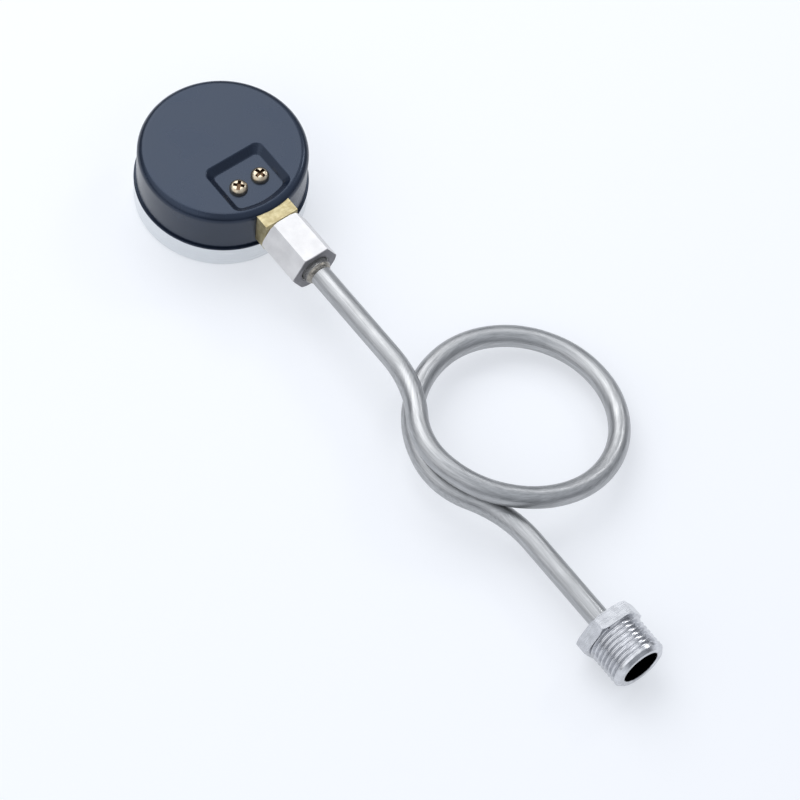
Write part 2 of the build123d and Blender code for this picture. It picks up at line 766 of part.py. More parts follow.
mesh_angle = sector_direction + 180
with BuildPart() as sector_gear:
    sector_plane = Plane(
        (gauge_x + sector_x, gauge_y + sector_y, face_z + sector_height),
        x_dir=(cos(radians(mesh_angle)), sin(radians(mesh_angle)), 0), z_dir=(0, 0, 1),
    )
    tooth_step = 360 / sector_teeth
    before = round((sector_cut_teeth - 1) / 2 - sector_lead / tooth_step)
    first = -before * tooth_step
    last = first + (sector_cut_teeth - 1) * tooth_step
    fan = ((first + last) / 2, (last - first) / 2 + tooth_step / 2)
    with BuildSketch(sector_plane):
        with BuildLine():
            rim = CenterArc((0, 0), sector_root, fan[0] - fan[1], 2 * fan[1])
            Line((0, 0), rim @ 0)
            Line((0, 0), rim @ 1)
        make_face()
        with BuildLine():
            outer, inner = [
                CenterArc((0, 0), radius, fan[0] - fan[1] + spoke, 2 * (fan[1] - spoke))
                for radius, spoke in zip((sector_root - sector_rim, sector_window), sector_spokes)
            ]
            Line(outer @ 0, inner @ 0)
            Line(outer @ 1, inner @ 1)
        make_face(mode=Mode.SUBTRACT)
        for index in range(sector_cut_teeth):
            with Locations(Location((0, 0), first + index * tooth_step)):
                Polygon(*tooth(pitch_sector, sector_teeth), align=None)
        Circle(sector_hub)
        with Locations(Location((0, 0), tail_angle - mesh_angle)):
            with Locations((tail_length / 2, 0)):
                Rectangle(tail_length, tail_width * 0.8)
            with Locations((tail_length, 0)):
                Circle(tail_width / 2)
                Circle(tail_pin_d / 2 + press_gap, mode=Mode.SUBTRACT)
        Circle(arbor_d / 2 + press_gap, mode=Mode.SUBTRACT)
    extrude(amount=sector_thickness)
save(sector_gear, "sector_gear")

sector_side = Plane(
    (gauge_x + sector_x, gauge_y + sector_y, face_z), x_dir=(1, 0, 0), z_dir=(0, -1, 0)
)
sector_axis = Axis((gauge_x + sector_x, gauge_y + sector_y, face_z), (0, 0, 1))
with BuildPart() as sector_arbor:
    turned(sector_side, sector_axis, (
        (0, front_plate_height + 0.1), (pivot_d / 2, front_plate_height + 0.1),
        (pivot_d / 2, arbor_low), (arbor_d / 2, arbor_low),
        (arbor_d / 2, sector_height + sector_thickness),
        (arbor_d / 2 + collar_step, sector_height + sector_thickness),
        (arbor_d / 2 + collar_step, sector_height + sector_thickness + collar_step),
        (arbor_d / 2, sector_height + sector_thickness + collar_step),
        (arbor_d / 2, arbor_high), (pivot_d / 2, arbor_high),
        (pivot_d / 2, back_plate_height + back_plate_thickness - 0.1),
        (0, back_plate_height + back_plate_thickness - 0.1),
    ))
save(sector_arbor, "sector_arbor")

with BuildPart() as tail_pin:
    with BuildSketch(level(sector_height)):
        with Locations((tail_pin_x, tail_pin_y)):
            Circle(tail_pin_d / 2)
    extrude(amount=link_height + link_thickness + 0.1 - sector_height)
    with BuildSketch(level(link_height + link_thickness + 0.1)):
        with Locations((tail_pin_x, tail_pin_y)):
            Circle(tail_pin_d / 2 + 0.35)
    extrude(amount=0.3)
save(tail_pin, "tail_pin")

# ---------------------------------------------------------------- hairspring
with BuildPart() as hairspring:
    with BuildSketch(level(spring_height)):
        with BuildLine():
            for half_turn in range(2 * spring_turns):
                upper = half_turn % 2 == 0
                centre = -spring_pitch / 4 if upper else spring_pitch / 4
                radius = spring_inner + spring_pitch / 2 * half_turn + spring_pitch / 4
                CenterArc((centre, 0), radius, 0 if upper else 180, 180)
        trace(line_width=spring_strip)
    extrude(amount=spring_width)
save(hairspring, "hairspring")

with BuildPart() as hairspring_collet:
    with BuildSketch(level(spring_height - 0.2)):
        Circle(collet_d / 2)
        Circle(arbor_d / 2 + press_gap, mode=Mode.SUBTRACT)
    extrude(amount=arbor_high - spring_height)
save(hairspring_collet, "hairspring_collet")

with BuildPart() as hairspring_stud:
    with BuildSketch(level(spring_height - 0.2)):
        with Locations((spring_inner + spring_pitch * spring_turns + stud_d / 2 + 0.1, 0)):
            Circle(stud_d / 2)
    extrude(amount=back_plate_height - spring_height + 0.2)
save(hairspring_stud, "hairspring_stud")

# ---------------------------------------------------------------- dial and pointer
zero = radians(pointer_zero)
needle_half = 0.55          # width of the needle over the stop pin
stop_aside = needle_half + stop_pin_d / 2 + 0.1
stop_x = stop_pin_radius * cos(zero) + stop_aside * sin(zero)
stop_y = stop_pin_radius * sin(zero) - stop_aside * cos(zero)

with BuildPart() as dial:
    with BuildSketch(level(dial_height)):
        Circle(dial_radius)
        Circle(pointer_arbor_d / 2 + 1.2, mode=Mode.SUBTRACT)
        with Locations(*dial_screw_spots):
            Circle(dial_screw_d / 2 + screw_clearance, mode=Mode.SUBTRACT)
        with Locations((stop_x, stop_y)):
            Circle(stop_pin_d / 2 + fit_gap, mode=Mode.SUBTRACT)
    extrude(amount=dial_thickness)
save(dial, "dial")

with BuildPart() as stop_pin:
    with BuildSketch(level(pointer_height - 0.3)):
        with Locations((stop_x, stop_y)):
            Circle(stop_pin_d / 2)
    extrude(amount=dial_height + dial_thickness - pointer_height + 0.3)
save(stop_pin, "stop_pin")

dial_back = dial_height + dial_thickness
for number, spot in enumerate(dial_screw_spots, start=1):
    with BuildPart() as dial_spacer:
        with BuildSketch(level(dial_back)):
            with Locations(spot):
                Circle(dial_spacer_d / 2)
                Circle(dial_screw_d / 2 + screw_clearance, mode=Mode.SUBTRACT)
        extrude(amount=front_plate_height - dial_back)
    save(dial_spacer, f"dial_spacer_{number}")
    with BuildPart() as dial_screw:
        with BuildSketch(level(dial_height)):
            with Locations(spot):
                Circle(dial_screw_head_d / 2)
        extrude(amount=-dial_screw_head_height)
        with BuildSketch(level(dial_height)):
            with Locations(spot):
                Circle(dial_screw_d / 2)
        extrude(amount=plates_inside - dial_height)
        with BuildSketch(level(dial_height - dial_screw_head_height)):
            with Locations(spot):
                Rectangle(dial_screw_head_d + 1, slot_width)
        extrude(amount=slot_depth, mode=Mode.SUBTRACT)
    save(dial_screw, f"dial_screw_{number}")

pointer_plane = Plane(
    (gauge_x, gauge_y, face_z + pointer_height), x_dir=(cos(zero), sin(zero), 0), z_dir=(0, 0, 1)
)
hub_neck = pointer_arbor_d / 2 + 0.5
with BuildPart() as pointer:
    with BuildSketch(pointer_plane):
        with BuildLine():
            Polyline(
                (0, 1.5), (-pointer_tail, 1.3), (-pointer_tail, -1.3), (0, -1.5),
                (stop_pin_radius, -needle_half), (pointer_length, -0.12),
                (pointer_length, 0.12), (stop_pin_radius, needle_half), close=True,
            )
        make_face()
        Circle(pointer_hub_d / 2 + 0.6)
        Circle(hub_neck + fit_gap, mode=Mode.SUBTRACT)
    extrude(amount=pointer_thickness)
save(pointer, "pointer")

with BuildPart() as pointer_hub:
    turned(gauge_side, gauge_axis, (
        (pointer_arbor_d / 2 + press_gap, pointer_height - 0.3),
        (hub_neck, pointer_height - 0.3), (hub_neck, pointer_height + pointer_thickness),
        (pointer_hub_d / 2, pointer_height + pointer_thickness),
        (pointer_hub_d / 2, dial_height - 0.3), (pointer_arbor_d / 2 + press_gap, dial_height - 0.3),
    ))
save(pointer_hub, "pointer_hub")
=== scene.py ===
"""Dress the pressure gauge and its coil siphon, light them and set the camera."""
import json
import logging
import math
from collections.abc import Callable
from dataclasses import dataclass, field
from enum import Enum

import bmesh
import bpy
from mathutils import Matrix, Vector

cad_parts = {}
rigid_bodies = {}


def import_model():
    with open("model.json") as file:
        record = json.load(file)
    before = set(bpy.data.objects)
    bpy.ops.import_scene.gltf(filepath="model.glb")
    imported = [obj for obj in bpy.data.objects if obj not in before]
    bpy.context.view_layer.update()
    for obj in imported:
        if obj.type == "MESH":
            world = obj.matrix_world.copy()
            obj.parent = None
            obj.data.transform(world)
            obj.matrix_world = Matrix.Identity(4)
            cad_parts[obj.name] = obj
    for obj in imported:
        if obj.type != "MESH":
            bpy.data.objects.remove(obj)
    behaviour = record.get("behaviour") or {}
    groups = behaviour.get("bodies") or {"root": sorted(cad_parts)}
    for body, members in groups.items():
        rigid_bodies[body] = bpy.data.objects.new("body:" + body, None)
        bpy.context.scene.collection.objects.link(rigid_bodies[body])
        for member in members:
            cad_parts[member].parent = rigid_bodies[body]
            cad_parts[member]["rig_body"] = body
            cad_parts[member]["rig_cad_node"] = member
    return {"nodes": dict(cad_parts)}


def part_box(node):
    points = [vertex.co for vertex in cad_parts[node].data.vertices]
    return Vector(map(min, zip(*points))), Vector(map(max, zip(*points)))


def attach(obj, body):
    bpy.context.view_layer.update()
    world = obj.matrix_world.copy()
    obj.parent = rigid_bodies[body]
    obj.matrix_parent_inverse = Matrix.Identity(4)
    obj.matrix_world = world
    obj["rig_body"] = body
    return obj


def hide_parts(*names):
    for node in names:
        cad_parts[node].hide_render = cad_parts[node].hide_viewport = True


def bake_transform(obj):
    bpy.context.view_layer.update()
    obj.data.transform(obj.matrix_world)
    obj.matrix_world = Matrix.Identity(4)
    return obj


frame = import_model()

logging.basicConfig(level=logging.INFO, format="%(message)s")
log = logging.getLogger("gauge_and_siphon")

MM = 0.001
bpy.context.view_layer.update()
BODY = "gauge_and_siphon"               # the fixed body
DOUBLED = 0.001 * MM                    # points nearer than this are one point


class Axis(Enum):
    """The main axes, by their place in a point."""

    X = 0
    Y = 1
    Z = 2


class Shaping(Enum):
    """What one closed mesh does to another."""

    JOIN = "UNION"
    CUT = "DIFFERENCE"
    KEEP = "INTERSECT"


# ------------------------------------------------------------------ small helpers
def linear(hex_colour: str, alpha: float = 1.0) -> tuple[float, float, float, float]:
    """Turn an sRGB hex colour into linear RGBA.

    Args:
        hex_colour: Six hexadecimal digits, with or without a leading hash.
        alpha: Opacity to append.

    Returns:
        Red, green and blue as linear values, and alpha.
    """
    digits = hex_colour.lstrip("#")
    parts = [int(digits[i:i + 2], 16) / 255 for i in (0, 2, 4)]
    r, g, b = (c / 12.92 if c <= 0.04045 else ((c + 0.055) / 1.055) ** 2.4 for c in parts)
    return (r, g, b, alpha)


def add_node(
    tree: bpy.types.NodeTree,
    kind: str,
    settings: dict[str | int, object] | None = None,
    links: dict[str | int, bpy.types.NodeSocket] | None = None,
) -> bpy.types.Node:
    """Add one shader node with its settings and its incoming links.

    Args:
        tree: Node tree that gets the node.
        kind: Blender's name for the node's type.
        settings: Values of the node's properties, or of its input sockets by name or number.
        links: Sockets that feed its inputs, by the input's name or number.

    Returns:
        The new node.
    """
    made = tree.nodes.new(kind)
    for key, value in (settings or {}).items():
        if isinstance(key, str) and key.islower():
            setattr(made, key, value)
        else:
            made.inputs[key].default_value = value
    for key, socket in (links or {}).items():
        tree.links.new(socket, made.inputs[key])
    return made


def node_centre(node: str) -> Vector:
    """Middle of a CAD node's box at rest."""
    low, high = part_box(node)
    return (low + high) / 2


def start_clean() -> None:
    """Leave edit mode and deselect everything."""
    if bpy.context.mode != "OBJECT":
        bpy.ops.object.mode_set(mode="OBJECT")
    bpy.ops.object.select_all(action="DESELECT")


def only(piece: bpy.types.Object) -> None:
    """Make one object the active and only selected one.

    Args:
        piece: The object.
    """
    start_clean()
    piece.select_set(True)
    bpy.context.view_layer.objects.active = piece


def settle(piece: bpy.types.Object, name: str) -> None:
    """Apply a piece's place to its mesh and name it.

    Args:
        piece: Finished mesh object, which ends at the origin and unturned.
        name: Name that the piece and its mesh get.
    """
    only(piece)
    bpy.ops.object.transform_apply(location=True, rotation=True, scale=True)
    piece.name = piece.data.name = name


def close_up(piece: bpy.types.Object) -> None:
    """Merge doubled points and turn every face outwards.

    Args:
        piece: Closed mesh object.
    """
    only(piece)
    bpy.ops.object.mode_set(mode="EDIT")
    bpy.ops.mesh.select_all(action="SELECT")
    bpy.ops.mesh.remove_doubles(threshold=DOUBLED)
    bpy.ops.mesh.normals_make_consistent(inside=False)
    bpy.ops.object.mode_set(mode="OBJECT")


def shape_with(piece: bpy.types.Object, tool: bpy.types.Object, how: Shaping) -> None:
    """Shape a piece with another closed mesh, which is used up.

    Args:
        piece: Mesh that keeps the result.
        tool: Mesh that shapes it.
        how: Whether the tool joins it, cuts it or keeps what both share.
    """
    only(piece)
    boolean = piece.modifiers.new("shape", "BOOLEAN")
    boolean.object = tool
    boolean.operation = how.value
    boolean.solver = "EXACT"
    bpy.ops.object.modifier_apply(modifier=boolean.name)
    bpy.data.objects.remove(tool)


def outline(corners: list[tuple[float, float]]) -> bpy.types.Object:
    """Draw a closed outline of edges, to be spun or screwed about the X axis.

    Args:
        corners: Points as (along the axis, out from it), in metres.

    Returns:
        A mesh object of edges alone, in the XZ plane.
    """
    start_clean()
    bpy.ops.mesh.primitive_plane_add(size=MM)
    piece = bpy.context.active_object
    shape = bmesh.new()
    points = [shape.verts.new((along, 0.0, out)) for along, out in corners]
    for first, second in zip(points, points[1:] + points[:1]):
        shape.edges.new((first, second))
    shape.to_mesh(piece.data)
    shape.free()
    only(piece)
    return piece


def lathe(corners: list[tuple[float, float]], steps: int) -> bpy.types.Object:
    """Spin a closed outline about the X axis into a turned solid.

    Args:
        corners: Points as (along the axis, out from it), in metres.
        steps: Number of facets round the axis.

    Returns:
        The turned mesh object, with its normals outwards.
    """
    piece = outline(corners)
    bpy.ops.object.mode_set(mode="EDIT")
    bpy.ops.mesh.select_all(action="SELECT")
    bpy.ops.mesh.spin(steps=steps, angle=2 * math.pi, center=(0, 0, 0), axis=(1, 0, 0))
    bpy.ops.object.mode_set(mode="OBJECT")
    close_up(piece)
    return piece


def smooth(piece: bpy.types.Object, degrees: float) -> None:
    """Shade a piece smooth, with creases sharper than the given angle kept."""
    only(piece)
    bpy.ops.object.shade_smooth_by_angle(angle=math.radians(degrees))


def paint(piece: bpy.types.Object, finish: "Finish") -> None:
    """Give an object one finish in place of what it has."""
    piece.data.materials.clear()
    piece.data.materials.append(finish.material())


def dress(nodes: tuple[str, ...], finish: "Finish") -> None:
    """Give CAD nodes a finish."""
    for node in nodes:
        paint(frame["nodes"][node], finish)


# ------------------------------------------------------------------ finishes
NOISE_LOW, NOISE_HIGH = 0.3, 0.7        # nearly all values of a noise lie between these


def split_place(
    tree: bpy.types.NodeTree, centre: tuple[float, float, float] = (0.0, 0.0, 0.0)
) -> tuple[bpy.types.NodeSocket, ...]:
    """Split object coordinates, counted from a point.

    Args:
        tree: Node tree that gets the nodes.
        centre: Point that they are counted from.

    Returns:
        The sockets of X, Y and Z.
    """
    place = add_node(tree, "ShaderNodeTexCoord")
    counted = add_node(
        tree, "ShaderNodeVectorMath", {"operation": "SUBTRACT", 1: centre},
        {0: place.outputs["Object"]},
    )
    parts = add_node(tree, "ShaderNodeSeparateXYZ", links={0: counted.outputs[0]})
    return tuple(parts.outputs)


def axis_reach(
    tree: bpy.types.NodeTree, parts: tuple[bpy.types.NodeSocket, ...], axis: Axis
) -> bpy.types.NodeSocket:
    """Measure how far the surface is from an axis.

    Args:
        tree: Node tree that gets the nodes.
        parts: The sockets of X, Y and Z.
        axis: The axis, through the point that they are counted from.

    Returns:
        The distance's socket.
    """
    across = {i: part for i, part in enumerate(parts) if i != axis.value}
    flat = add_node(tree, "ShaderNodeCombineXYZ", links=across)
    reach = add_node(
        tree, "ShaderNodeVectorMath", {"operation": "LENGTH"}, {0: flat.outputs[0]}
    )
    return reach.outputs["Value"]


@dataclass(frozen=True)
class Spots:
    """Noise of a real size."""

    size: float                         # of a spot, in metres
    detail: float = 3.0                 # octaves of finer noise
    stretch: tuple[float, float, float] = (1.0, 1.0, 1.0)   # below 1 draws the spots out

    def add(self, tree: bpy.types.NodeTree) -> bpy.types.NodeSocket:
        """Add the noise on object coordinates.

        Args:
            tree: Node tree that gets the nodes.

        Returns:
            The noise's value socket, from 0 to 1.
        """
        place = add_node(tree, "ShaderNodeTexCoord")
        fit = add_node(
            tree, "ShaderNodeMapping", {"Scale": self.stretch},
            {"Vector": place.outputs["Object"]},
        )
        noise = add_node(
            tree, "ShaderNodeTexNoise", {"Scale": 1 / self.size, "Detail": self.detail},
            {"Vector": fit.outputs["Vector"]},
        )
        return noise.outputs["Fac"]


@dataclass(frozen=True)
class Finish:
    """Base of every finish: a principled shader whose colour, gloss and relief vary.

    The colour goes from dull to lit by the patches, or by the grain where there are none.
    The roughness and the relief follow the grain.
    """

    name: str
    dull: str
    lit: str
    roughness: float
    grain: Spots
    patches: Spots | None = None
    gloss: tuple[float, float] = (0.0, 0.0)     # what the grain's ends add to the roughness
    depth: float = 0.0                  # of the relief, in metres
    relief: float = 0.5                 # strength of the relief's shading
    metallic: float = 1.0
    ior: float | None = None            # metals keep the default

    def material(self) -> bpy.types.Material:
        """Make this finish's material at its first use.

        Returns:
            The material, named for the finish.
        """
        found = bpy.data.materials.get(self.name)
        if found:
            return found
        made = bpy.data.materials.new(self.name)
        made.use_nodes = True
        tree = made.node_tree
        shader = tree.nodes["Principled BSDF"]
        shader.inputs["Metallic"].default_value = self.metallic
        shader.inputs["Roughness"].default_value = self.roughness
        if self.ior is not None:
            shader.inputs["IOR"].default_value = self.ior
        self.tune(shader)
        colour_by, gloss_by, height_by = self.patterns(tree)
        if self.dull == self.lit:
            shader.inputs["Base Color"].default_value = linear(self.lit)
        else:
            tree.links.new(self.colour(tree, colour_by), shader.inputs["Base Color"])
        if any(self.gloss):
            low, high = (self.roughness + change for change in self.gloss)
            tree.links.new(self.spread(tree, gloss_by, low, high), shader.inputs["Roughness"])
        if self.depth:
            raised = add_node(
                tree, "ShaderNodeBump", {"Strength": self.relief, "Distance": self.depth},
                {"Height": height_by},
            )
            tree.links.new(raised.outputs["Normal"], shader.inputs["Normal"])
        return made

    def tune(self, shader: bpy.types.Node) -> None:
        """Set the sockets that this finish alone uses; most finishes have none."""

    def patterns(self, tree: bpy.types.NodeTree) -> tuple[bpy.types.NodeSocket, ...]:
        """Add the patterns that the colour, the roughness and the relief follow, in that order."""
        grain = self.grain.add(tree)
        return (self.patches.add(tree) if self.patches else grain), grain, grain

    def colour(
        self, tree: bpy.types.NodeTree, pattern: bpy.types.NodeSocket
    ) -> bpy.types.NodeSocket:
        """Colour the surface by a pattern."""
        return self.tint(tree, pattern, self.dull, self.lit)

    def spread(
        self, tree: bpy.types.NodeTree, value: bpy.types.NodeSocket, low: float, high: float
    ) -> bpy.types.NodeSocket:
        """Map a noise onto a range.

        Args:
            tree: Node tree that gets the node.
            value: The noise.
            low: Result at the noise's low end.
            high: Result at its high end.

        Returns:
            The mapped value's socket.
        """
        mapped = add_node(
            tree, "ShaderNodeMapRange", {1: NOISE_LOW, 2: NOISE_HIGH, 3: low, 4: high}, {0: value}
        )
        return mapped.outputs[0]

    def tint(
        self, tree: bpy.types.NodeTree, value: bpy.types.NodeSocket, first: str, second: str
    ) -> bpy.types.NodeSocket:
        """Blend two colours by a noise.

        Args:
            tree: Node tree that gets the nodes.
            value: The noise.
            first: Hex colour at its low end.
            second: Hex colour at its high end.

        Returns:
            The colour's socket.
        """
        mix = add_node(
            tree, "ShaderNodeMix", {"data_type": "RGBA", 6: linear(first), 7: linear(second)},
            {0: self.spread(tree, value, 0.0, 1.0)},
        )
        return mix.outputs[2]


@dataclass(frozen=True)
class SatinTube(Finish):
    """Drawn stainless tube, polished with a fine belt: soft light bands along its length."""

    name: str = "satin_stainless_tube"
    dull: str = "9fa0a1"
    lit: str = "c0c1c2"
    roughness: float = 0.39
    grain: Spots = Spots(9 * MM, 2.0)   # blotches of uneven polish, which only the gloss shows
    gloss: tuple[float, float] = (-0.05, 0.08)
    depth: float = 0.012 * MM
    streak_width: float = 0.5 * MM      # belt lines are 0.1 mm; drawn 0.5 mm so that they show
    streak_length: float = 14 * MM
    coil_centre: tuple[float, float, float] = (0.0, 0.0, 0.0)
    coil_reach: float = 43 * MM         # from the centre to just past the coil

    def patterns(self, tree: bpy.types.NodeTree) -> tuple[bpy.types.NodeSocket, ...]:
        """Add streaks that follow the straight legs and turn with the coil.

        Args:
            tree: Node tree that gets the nodes.

        Returns:
            The streaks for the colour, the blotches for the gloss, the streaks for the relief.
        """
        parts = split_place(tree, self.coil_centre)
        x, y, z = parts
        reach = axis_reach(tree, parts, Axis.Z)
        angle = add_node(tree, "ShaderNodeMath", {"operation": "ARCTAN2"}, {0: y, 1: x})
        arc = add_node(
            tree, "ShaderNodeMath", {"operation": "MULTIPLY", 1: self.coil_reach},
            {0: angle.outputs[0]},
        )
        round_coil = add_node(
            tree, "ShaderNodeCombineXYZ", links={0: arc.outputs[0], 1: reach, 2: z}
        )
        straight = add_node(tree, "ShaderNodeCombineXYZ", links={0: x, 1: y, 2: z})
        in_coil = add_node(
            tree, "ShaderNodeMath", {"operation": "LESS_THAN", 1: self.coil_reach}, {0: reach}
        )
        follow = add_node(
            tree, "ShaderNodeMix", {"data_type": "VECTOR"},
            {0: in_coil.outputs[0], 4: straight.outputs[0], 5: round_coil.outputs[0]},
        )
        across, along = 1 / self.streak_width, 1 / self.streak_length
        fit = add_node(
            tree, "ShaderNodeMapping", {"Scale": (along, across, across)},
            {"Vector": follow.outputs[1]},
        )
        streaks = add_node(
            tree, "ShaderNodeTexNoise", {"Scale": 1.0, "Detail": 4.0, "Roughness": 0.6},
            {"Vector": fit.outputs["Vector"]},
        ).outputs["Fac"]
        return streaks, self.grain.add(tree), streaks


@dataclass(frozen=True)
class TurnedSteel(Finish):
    """Turned steel: fine rings round the axis and a clean grey gloss."""

    name: str = "turned_stainless"
    dull: str = "a2a2a0"
    lit: str = "c6c6c4"
    roughness: float = 0.3
    # Feed marks are 0.08 mm; they are drawn 0.25 mm so that they show.
    grain: Spots = Spots(0.25 * MM, 2.0, (1.0, 0.04, 0.04))
    patches: Spots = Spots(2.5 * MM, 4.0)
    gloss: tuple[float, float] = (-0.06, 0.1)
    depth: float = 0.01 * MM


@dataclass(frozen=True)
class BoredSteel(TurnedSteel):
    """Turned steel whose bore round the X axis is painted near black, as painted shade of the
    deep, unlit bore.
    """

    name: str = "turned_stainless_fitting"
    dull: str = "c4c5c8"
    lit: str = "dbdcdf"
    roughness: float = 0.25
    # near-black painted shade for the inside of the bore
    scale: str = "1b1b1c"
    bore_reach: float = 0.0             # what is nearer to the axis lies in the bore
    bore_start: float = -0.5 * MM       # x from which the bore is dark

    def colour(
        self, tree: bpy.types.NodeTree, pattern: bpy.types.NodeSocket
    ) -> bpy.types.NodeSocket:
        """Paint shade into the bore.

        Args:
            tree: Node tree that gets the nodes.
            pattern: The patches that the polished steel's colour follows.

        Returns:
            The colour's socket.
        """
        parts = split_place(tree)
        near = add_node(
            tree, "ShaderNodeMath", {"operation": "LESS_THAN", 1: self.bore_reach},
            {0: axis_reach(tree, parts, Axis.X)},
        )
        past = add_node(
            tree, "ShaderNodeMath", {"operation": "GREATER_THAN", 1: self.bore_start},
            {0: parts[0]},
        )
        inside = add_node(
            tree, "ShaderNodeMath", {"operation": "MULTIPLY"},
            {0: near.outputs[0], 1: past.outputs[0]},
        )
        # mix the painted shade into the bore
        mix = add_node(
            tree, "ShaderNodeMix", {"data_type": "RGBA", 7: linear(self.scale)},
            {0: inside.outputs[0], 6: super().colour(tree, pattern)},
        )
        return mix.outputs[2]


@dataclass(frozen=True)
class WeldSteel(Finish):
    """Weld bead in stainless, brushed afterwards: rippled, with a trace of straw heat tint."""

    name: str = "welded_stainless"
    dull: str = "7f7a72"
    lit: str = "a8a49c"
    roughness: float = 0.3
    grain: Spots = Spots(0.8 * MM, 2.0)
    gloss: tuple[float, float] = (-0.06, 0.12)
    depth: float = 0.08 * MM
    relief: float = 0.6


@dataclass(frozen=True)
class SatinNickel(Finish):
    """Nickel-plated nut, blasted before plating: almost white, with a soft broad sheen."""

    name: str = "satin_nickel_plate"
    dull: str = "dddcdc"
    lit: str = "e9e8e8"
    roughness: float = 0.62
    grain: Spots = Spots(0.3 * MM, 2.0)
    patches: Spots = Spots(5 * MM, 2.0)
    gloss: tuple[float, float] = (-0.05, 0.08)
    depth: float = 0.008 * MM
    heated_dull: str = "88878a"         # the end face is coloured a darker grey
    heated_lit: str = "98979a"
    heated_end: float = 0.0             # x of that face
    heated_skin: tuple[float, float] = (-0.5 * MM, -0.1 * MM)   # where grey starts, and is full

    def colour(
        self, tree: bpy.types.NodeTree, pattern: bpy.types.NodeSocket
    ) -> bpy.types.NodeSocket:
        """Grey the end face.

        Args:
            tree: Node tree that gets the nodes.
            pattern: The clouds that both colours follow.

        Returns:
            The colour's socket.
        """
        start, full = (self.heated_end + x for x in self.heated_skin)
        grey_face = add_node(
            tree, "ShaderNodeMapRange", {1: start, 2: full}, {0: split_place(tree)[0]}
        )
        mix = add_node(
            tree, "ShaderNodeMix", {"data_type": "RGBA"},
            {
                0: grey_face.outputs[0],
                6: super().colour(tree, pattern),
                7: self.tint(tree, pattern, self.heated_dull, self.heated_lit),
            },
        )
        return mix.outputs[2]


@dataclass(frozen=True)
class BlackEnamel(Finish):
    """Stoving enamel on pressed steel: near black, semi-gloss, with faint orange peel."""

    name: str = "black_stoving_enamel"
    dull: str = "101724"
    lit: str = "151e2e"
    roughness: float = 0.25
    grain: Spots = Spots(1.2 * MM, 1.0)
    patches: Spots = Spots(14 * MM, 2.0)
    gloss: tuple[float, float] = (-0.03, 0.04)
    depth: float = 0.006 * MM
    relief: float = 0.4
    metallic: float = 0.0
    ior: float = 1.56
    sheen: str = "d0e2ff"               # the blue-black pigment colours what it mirrors

    def tune(self, shader: bpy.types.Node) -> None:
        """Tint the reflections."""
        shader.inputs["Specular Tint"].default_value = linear(self.sheen)

    def patterns(self, tree: bpy.types.NodeTree) -> tuple[bpy.types.NodeSocket, ...]:
        """Let colour and gloss change slowly, and only the relief be fine orange peel."""
        clouds = self.patches.add(tree)
        return clouds, clouds, self.grain.add(tree)


@dataclass(frozen=True)
class BrightRing(Finish):
    """Spun stainless bezel ring: bright, with fine lines round it that soften what it mirrors."""

    name: str = "spun_stainless"
    dull: str = "d9dcdf"
    lit: str = "e5e8ea"
    roughness: float = 0.2
    # Spinning lines are 0.05 mm; they are drawn 0.2 mm so that they show.
    grain: Spots = Spots(0.2 * MM, 2.0, (0.02, 0.02, 1.0))
    gloss: tuple[float, float] = (-0.04, 0.08)
    depth: float = 0.004 * MM
    relief: float = 0.4


@dataclass(frozen=True)
class WindowGlass(Finish):
    """Flat instrument glass: clear, with a faint green edge and a haze of wiped marks."""

    name: str = "instrument_glass"
    dull: str = "fafefc"
    lit: str = "fafefc"
    roughness: float = 0.0
    grain: Spots = Spots(4 * MM, 3.0, (0.2, 1.0, 1.0))
    gloss: tuple[float, float] = (0.0, 0.03)
    metallic: float = 0.0
    ior: float = 1.52

    def tune(self, shader: bpy.types.Node) -> None:
        """Let light through."""
        shader.inputs["Transmission Weight"].default_value = 1.0


@dataclass(frozen=True)
class Rubber(Finish):
    """Moulded sealing rubber: matt and nearly black, with a trace of bloom."""

    name: str = "sealing_rubber"
    dull: str = "191919"
    lit: str = "242425"
    roughness: float = 0.75
    grain: Spots = Spots(0.4 * MM)
    depth: float = 0.01 * MM
    metallic: float = 0.0
    ior: float = 1.52


@dataclass(frozen=True)
class FibreSeal(Finish):
    """Pressed fibre washer: matt, with short flecks."""

    name: str = "pressed_fibre"
    dull: str = "4a4640"
    lit: str = "6c675f"
    roughness: float = 0.85
    grain: Spots = Spots(0.5 * MM, 3.0, (0.4, 1.0, 1.0))
    depth: float = 0.02 * MM
    metallic: float = 0.0
    ior: float = 1.5


@dataclass(frozen=True)
class MilledBrass(Finish):
    """Forged brass, milled square: pale yellow with cutter marks and patches of tarnish."""

    name: str = "milled_brass"
    dull: str = "a39670"
    lit: str = "c6bc98"
    roughness: float = 0.46
    grain: Spots = Spots(0.4 * MM, 3.0, (1.0, 0.12, 0.12))
    patches: Spots = Spots(2 * MM, 5.0)
    gloss: tuple[float, float] = (-0.08, 0.12)
    depth: float = 0.02 * MM


